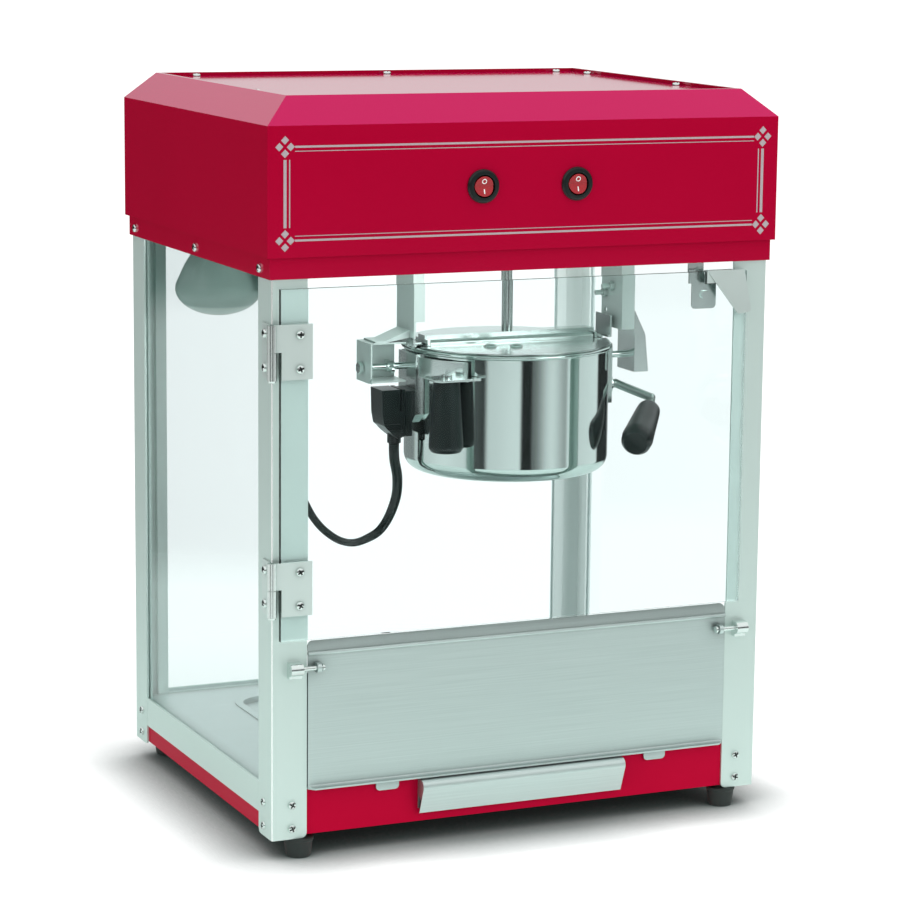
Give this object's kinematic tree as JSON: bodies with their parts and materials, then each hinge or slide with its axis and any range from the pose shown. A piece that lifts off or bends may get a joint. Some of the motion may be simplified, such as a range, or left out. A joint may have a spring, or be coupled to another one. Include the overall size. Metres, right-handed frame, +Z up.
{
  "type": "popcorn maker",
  "caption": "Table-top popcorn maker: glazed cabinet with a painted roof and base, tilting hanging kettle with stirrer and lids, glass door, serving flap and crumb drawer.",
  "frame": {"origin": "on the floor under the middle of the bounding box", "axes": "+X to the right seen from the front, +Y to the back, +Z up; the door and the switches face -Y"},
  "size_m": [0.38, 0.312, 0.5165],
  "materials": {
    "red_paint": "gloss",
    "zinc_steel": "satin",
    "motor_housing": "satin",
    "black_plastic": "matte",
    "bulb_glass": "gloss",
    "bright_steel": "polished",
    "aluminium": "satin",
    "clear_glass": "clear",
    "brushed_steel": "brushed",
    "polished_steel": "polished",
    "pan_steel": "satin",
    "rubber": "matte",
    "cord_rubber": "matte",
    "red_plastic": "gloss"
  },
  "bodies": {
    "cabinet": {"roof_canopy": "red_paint", "roof_top_panel": "red_paint", "roof_top_screws": "zinc_steel", "trim_band": "red_paint", "trim_screws": "zinc_steel", "ceiling_plate": "zinc_steel", "motor_bracket": "zinc_steel", "gear_motor": "motor_housing", "lamp_holder": "black_plastic", "lamp_bulb": "bulb_glass", "lamp_shield": "bright_steel", "post_front_left": "aluminium", "post_front_right": "aluminium", "post_back_left": "aluminium", "post_back_right": "aluminium", "pane_left": "clear_glass", "pane_right": "clear_glass", "pane_back": "clear_glass", "rail_left": "aluminium", "rail_right": "aluminium", "rail_back": "aluminium", "base_body": "red_paint", "deck": "brushed_steel", "kernel_sifter": "brushed_steel", "drawer_runners": "brushed_steel", "post_screws": "zinc_steel", "feet": "rubber", "hinge_post_leaves": "bright_steel", "catch_bracket": "zinc_steel", "flap_ears": "bright_steel", "hanger_arm_left": "bright_steel", "hanger_arm_right": "bright_steel", "pivot_bracket_left": "bright_steel", "pivot_bracket_right": "bright_steel", "hanger_screws": "zinc_steel", "switch_bezels": "black_plastic", "cord_gland": "black_plastic", "mains_inlet": "black_plastic"},
    "door": {"door_pane": "clear_glass", "hinge_door_leaves": "bright_steel", "door_handle": "bright_steel"},
    "serving_panel": {"serving_panel": "brushed_steel", "flap_pins": "bright_steel"},
    "drawer": {"crumb_drawer": "brushed_steel"},
    "kettle": {"kettle_pot": "polished_steel", "kettle_pan": "pan_steel", "kettle_crossbar": "brushed_steel", "kettle_ears": "bright_steel", "cord_connector": "black_plastic", "left_grip": "black_plastic", "crank_rod": "pan_steel", "crank_grip": "black_plastic", "kettle_cord": "cord_rubber"},
    "lid_front": {"lid_front": "brushed_steel"},
    "lid_rear": {"lid_rear": "brushed_steel"},
    "stirrer": {"stirrer": "bright_steel"},
    "drive": {"drive_coupling": "bright_steel"},
    "rocker_light": {"rocker_light": "red_plastic"},
    "rocker_pop": {"rocker_pop": "red_plastic"},
    "wing_screw": {"wing_screw": "bright_steel"}
  },
  "joints": [
    {"name": "door_hinge", "type": "hinge", "parent": "cabinet", "child": "door", "pos_m": [-0.1868, -0.1505, 0.355], "axis": [0, 0, -1], "range_deg": [0, 110]},
    {"name": "serving_flap_hinge", "type": "hinge", "parent": "cabinet", "child": "serving_panel", "pos_m": [0, -0.1515, 0.1335], "axis": [-1, 0, 0], "range_deg": [0, 60]},
    {"name": "drawer_slide", "type": "slide", "parent": "cabinet", "child": "drawer", "axis": [0, -1, 0], "range_m": [0, 0.2]},
    {"name": "kettle_tilt", "type": "hinge", "parent": "cabinet", "child": "kettle", "pos_m": [0.052, 0, 0.312], "axis": [1, 0, 0], "range_deg": [0, 90], "deforming": ["kettle_cord"]},
    {"name": "lid_front_hinge", "type": "hinge", "parent": "kettle", "child": "lid_front", "pos_m": [0.052, -0.0086, 0.3283], "axis": [-1, 0, 0], "range_deg": [0, 62]},
    {"name": "lid_rear_hinge", "type": "hinge", "parent": "kettle", "child": "lid_rear", "pos_m": [0.052, 0.0086, 0.3283], "axis": [1, 0, 0], "range_deg": [0, 62]},
    {"name": "drive_spin", "type": "hinge", "parent": "cabinet", "child": "drive", "pos_m": [0.052, 0, 0.42], "axis": [0, 0, 1], "continuous": true},
    {"name": "stirrer_spin", "type": "hinge", "parent": "kettle", "child": "stirrer", "pos_m": [0.052, 0, 0.3], "axis": [0, 0, 1], "continuous": true},
    {"name": "rocker_light_tilt", "type": "hinge", "parent": "cabinet", "child": "rocker_light", "pos_m": [-0.036, -0.1495, 0.455], "axis": [1, 0, 0], "range_deg": [-10, 10]},
    {"name": "rocker_pop_tilt", "type": "hinge", "parent": "cabinet", "child": "rocker_pop", "pos_m": [0.034, -0.1495, 0.455], "axis": [1, 0, 0], "range_deg": [-10, 10]},
    {"name": "wing_screw_turn", "type": "hinge", "parent": "cabinet", "child": "wing_screw", "pos_m": [-0.05, 0, 0.312], "axis": [1, 0, 0], "continuous": true}
  ],
  "couplings": [
    {"joint": "stirrer_spin", "follows": "drive_spin", "ratio": 1}
  ]
}
